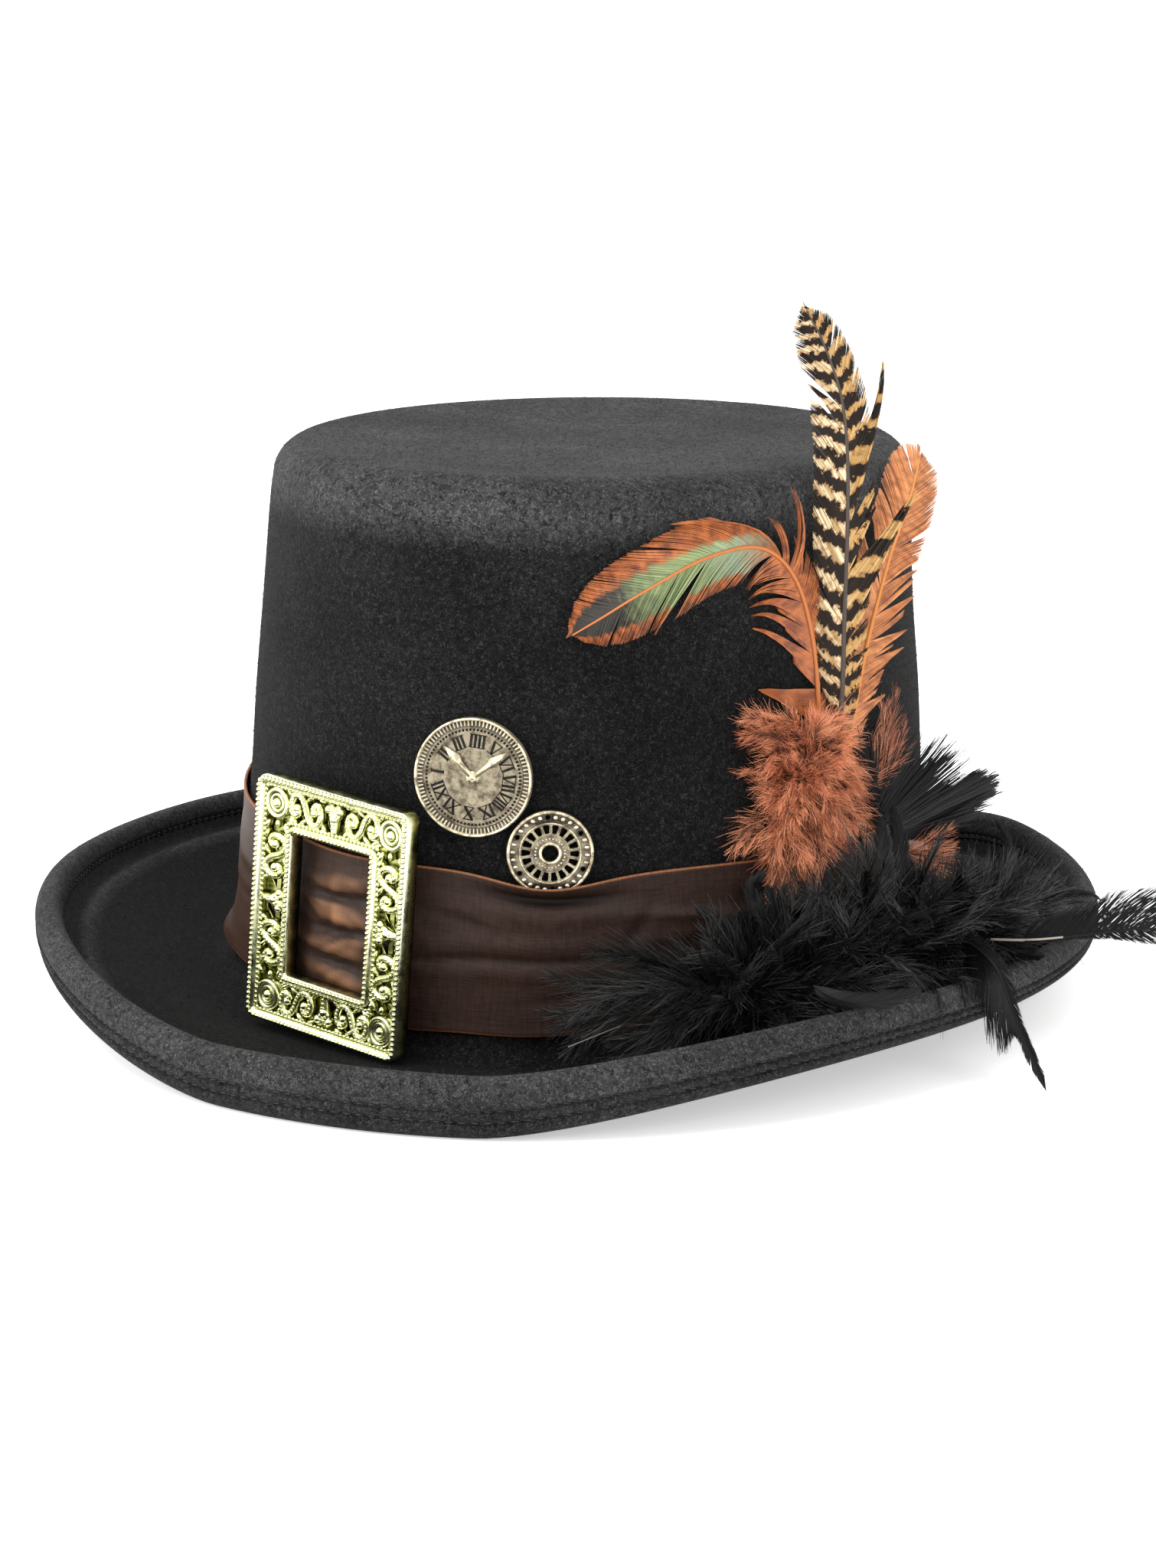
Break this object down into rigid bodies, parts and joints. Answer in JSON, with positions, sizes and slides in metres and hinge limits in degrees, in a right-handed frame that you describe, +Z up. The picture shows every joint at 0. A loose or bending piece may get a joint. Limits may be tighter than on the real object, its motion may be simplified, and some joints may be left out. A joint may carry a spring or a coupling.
{
  "type": "steampunk hat",
  "caption": "Felt top hat with a curled brim, brown satin band, pierced buckle, cast clock and wheel charms, and a spray of barred, rust, green and black feathers.",
  "frame": {"origin": "on the floor that the brim rests on, under the middle of the head opening, on the crown's axis", "axes": "+Z up along the crown's axis, front of the hat towards -Y, wearer's left towards +X"},
  "size_m": [0.3021, 0.3294, 0.1854],
  "materials": {
    "felt": "brushed charcoal wool-look felt",
    "satin": "brown satin ribbon in soft folds",
    "pale_gold": "pale gold plated plastic",
    "old_silver": "antiqued cast metal, dark in the hollows",
    "barred_feather": "tan feather with dark bars",
    "green_feather": "rust-edged feather with a green sheen",
    "rust_feather": "dyed rust feather and down",
    "black_feather": "dyed black feather and down"
  },
  "bodies": {
    "root": {"felt_body": "felt", "hat_band": "satin", "buckle": "pale_gold", "clock_charm": "old_silver", "wheel_charm": "old_silver", "pheasant_feather": "barred_feather", "green_cock_feather": "green_feather", "rust_cock_feather": "rust_feather", "rust_fluff": "rust_feather", "black_fan_feather": "black_feather", "black_plume": "black_feather", "black_front_feather": "black_feather", "black_drop_feather": "black_feather", "black_side_feather": "black_feather"}
  },
  "joints": []
}
